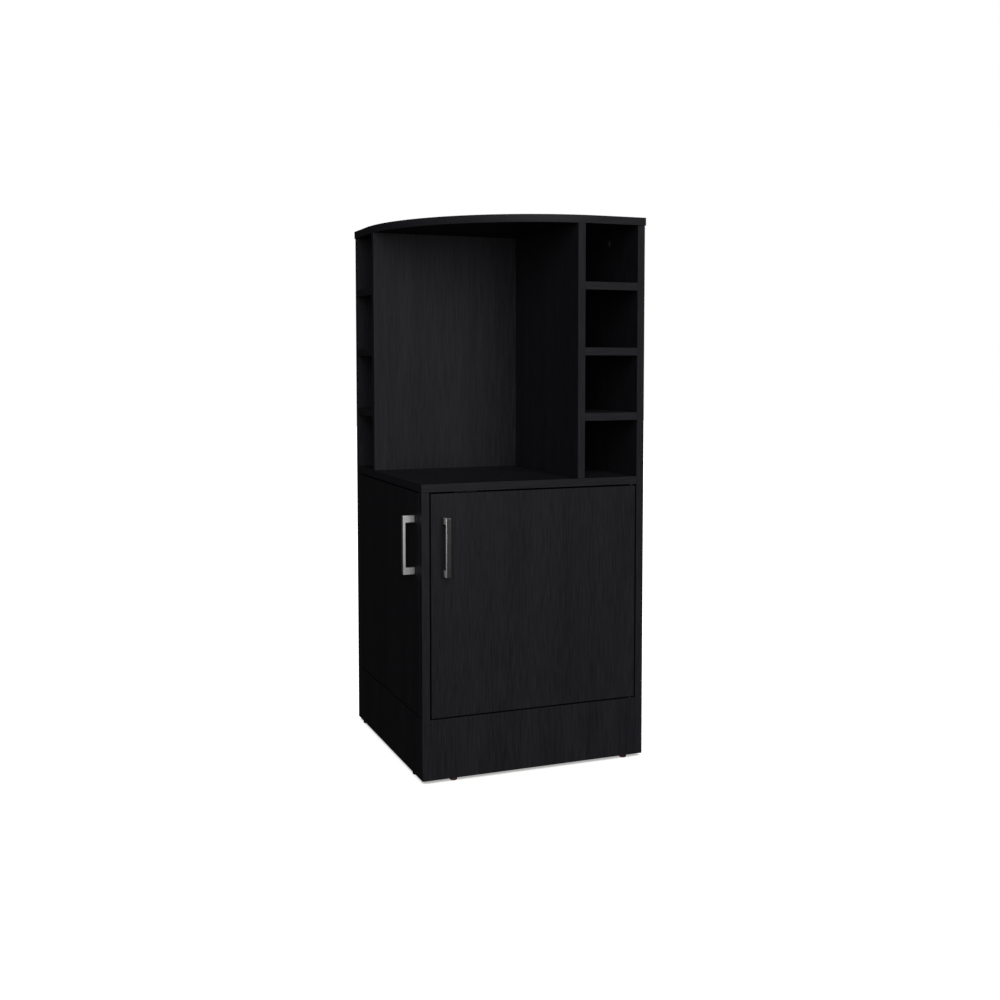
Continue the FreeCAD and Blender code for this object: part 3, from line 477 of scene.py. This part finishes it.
def bridge_handle(node, outward):
    """A square-bar bridge handle: two legs and a bar, every edge softened by the polishing."""
    leg = 13.5 * MM            # height of each leg
    bar = 5.5 * MM             # thickness of the bar between them
    outer = 1.6 * MM           # rounding of the bar's two ends
    inner = 1.0 * MM           # rounding where the legs meet the bar
    polish = 0.8 * MM          # what the polishing takes off every edge
    edge_turn = 60             # degrees, less than a square edge turns
    crease = 35                # degrees at which its shading breaks
    low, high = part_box(node)
    side = 1 - outward
    face = low[outward]
    door = high[outward]
    back = face + bar
    outline = [((door, low.z), 0), ((face, low.z), outer), ((face, high.z), outer),
               ((door, high.z), 0), ((door, high.z - leg), 0), ((back, high.z - leg), inner),
               ((back, low.z + leg), inner), ((door, low.z + leg), 0)]
    corners = [Vector(corner) for corner, _ in outline]
    points = []
    for i, (_, radius) in enumerate(outline):
        if radius == 0:
            points.append(corners[i])
            continue
        before = (corners[i - 1] - corners[i]).normalized()
        after = (corners[(i + 1) % len(corners)] - corners[i]).normalized()
        points += rounded_corner(corners[i], before, after, radius, steps=5)
    ring = []
    for across, up in points:
        place = Vector((0, 0, up))
        place[outward] = across
        place[side] = low[side]
        ring.append(place)
    width = Vector((0, 0, 0))
    width[side] = high[side] - low[side]
    mesh = prism(ring, width)
    soften(mesh, edges_sharper_than(mesh, edge_turn), polish, steps=4)
    piece = make_piece(f"polished_{node}", mesh, [NICKEL], body_of(node), (node,))
    shade(piece, crease)
    return piece


# ---- what the CAD's own pieces are made of ----------------------------------------------------

CARRIED = {
    "carcase_screws": ZINC, "cam_bolts": ZINC, "catch_screws": ZINC, "cam_locks": CAST,
    "dowels": BEECH, "floor_glides": GLIDE, "pivot_bushes": NYLON, "catch_cases": NYLON,
    "catch_magnets": FERRITE,
    "front_pivot_pins": BLACKED, "left_pivot_pins": BLACKED,
    "front_handle_screws": ZINC, "left_handle_screws": ZINC,
    "front_strike_screws": ZINC, "left_strike_screws": ZINC,
    "front_strike_plate": ZINC, "left_strike_plate": ZINC,
}


def carry_over():
    """Give each CAD node that stays its real material."""
    for node, material in CARRIED.items():
        for slot in NODES[node].material_slots:
            slot.material = material


# ---- studio -----------------------------------------------------------------------------------

def make_floor():
    """A wide pale floor under the glides, with a faint glow of its own to lighten the shadow."""
    half_width = 12.0
    pale = paint("#f4f4f3")
    mesh = bmesh.new()
    bmesh.ops.create_grid(mesh, x_segments=1, y_segments=1, size=half_width)
    data = bpy.data.meshes.new("floor")
    mesh.to_mesh(data)
    mesh.free()
    floor = bpy.data.objects.new("floor", data)
    floor.location.z = CAD_BOX[0][2]
    bpy.context.scene.collection.objects.link(floor)
    material, tree, shader, _ = new_material("studio_floor")
    set_inputs(tree, shader, {"Base Color": pale, "Roughness": 0.9, "Emission Color": pale,
                              "Emission Strength": 0.45})
    data.materials.append(material)
    floor.visible_diffuse = False
    floor.visible_glossy = False
    return floor


def make_light(name, place, size, power, only=(), spared=()):
    """A square soft light, aimed at the cabinet, that lights only some things or all but a few."""
    lamp = bpy.data.lights.new(name, "AREA")
    lamp.size = size
    lamp.energy = power
    light = bpy.data.objects.new(name, lamp)
    light.location = place
    light.rotation_euler = (AIM - Vector(place)).to_track_quat("-Z", "Y").to_euler()
    light.visible_camera = False
    bpy.context.scene.collection.objects.link(light)
    link_light(light, only or spared, "INCLUDE" if only else "EXCLUDE")


def link_light(light, things, state):
    """Say which things a light shines on ("INCLUDE"), or which it passes by ("EXCLUDE")."""
    linked = bpy.data.collections.new(f"{light.name}_linked")
    for thing in things:
        linked.objects.link(thing)
    for member in linked.collection_objects:
        member.light_linking.link_state = state
    light.light_linking.receiver_collection = linked


def make_floor_light(floor):
    """A wide, high light for the floor alone, that leaves a soft shadow under the cabinet."""
    lamp = bpy.data.lights.new("floor_light", "SUN")
    lamp.angle = math.radians(130)
    lamp.energy = 4.0
    light = bpy.data.objects.new("floor_light", lamp)
    bpy.context.scene.collection.objects.link(light)
    link_light(light, [floor], "INCLUDE")


def make_world():
    """A white surround that the camera sees, and a dimmer one that lights the cabinet."""
    world = bpy.data.worlds.new("studio")
    world.use_nodes = True
    bpy.context.scene.world = world
    tree = world.node_tree
    tree.nodes.clear()
    seen = add(tree, "ShaderNodeBackground", {"Color": WHITE, "Strength": 1.0})
    lighting = add(tree, "ShaderNodeBackground", {"Color": WHITE, "Strength": 0.02})
    path = add(tree, "ShaderNodeLightPath")
    mix = add(tree, "ShaderNodeMixShader", {"Fac": path.outputs["Is Camera Ray"],
                                            1: lighting.outputs[0], 2: seen.outputs[0]})
    add(tree, "ShaderNodeOutputWorld", {"Surface": mix.outputs[0]})


def make_camera():
    """A camera off the near corner, turned to the right, nearly level, with a lowered frame."""
    stand = Vector((-0.6639, -2.0757, 0.7634))   # where it stands, in metres from the near corner
    pitch = 86.5                                 # degrees up from straight down
    turn = 21.896                                # degrees to the right
    camera = bpy.data.cameras.new("camera")
    camera.sensor_width = 36.0
    camera.lens = 43.74
    camera.shift_x = -0.0093
    camera.shift_y = -0.0628
    viewer = bpy.data.objects.new("camera", camera)
    viewer.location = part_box("front_plinth")[0] + stand
    viewer.rotation_euler = (math.radians(pitch), 0, math.radians(-turn))
    bpy.context.scene.collection.objects.link(viewer)
    bpy.context.scene.camera = viewer


def light_studio(floor, front_handle, left_handle):
    """A big front light, weak ones from the left and behind, and two glints for the handles."""
    make_light("key", (-0.5, -3.7, 2.0), size=4.2, power=142, spared=[floor, front_handle])
    make_light("fill", (-3.4, -0.8, 1.5), size=2.0, power=5, spared=[floor])
    make_light("rear", (2.4, 3.0, 1.0), size=3.2, power=160, spared=[floor])
    make_light("handle_front", (0.75, -2.4, 1.35), size=0.9, power=5.5,
               only=[front_handle, left_handle])
    make_light("handle_side", (-3.2, 0.6, 0.9), size=1.2, power=75, only=[front_handle])
    make_floor_light(floor)
    make_world()
    bpy.context.scene.view_settings.view_transform = "Standard"


def build():
    """Dress every board, make the handles, and set up the studio."""
    for number, node in enumerate(GRAIN):
        dress_board(node, number)
    dress_top(len(GRAIN))
    front_handle = bridge_handle("front_handle", outward=1)
    left_handle = bridge_handle("left_handle", outward=0)
    carry_over()
    light_studio(make_floor(), front_handle, left_handle)
    make_camera()


build()
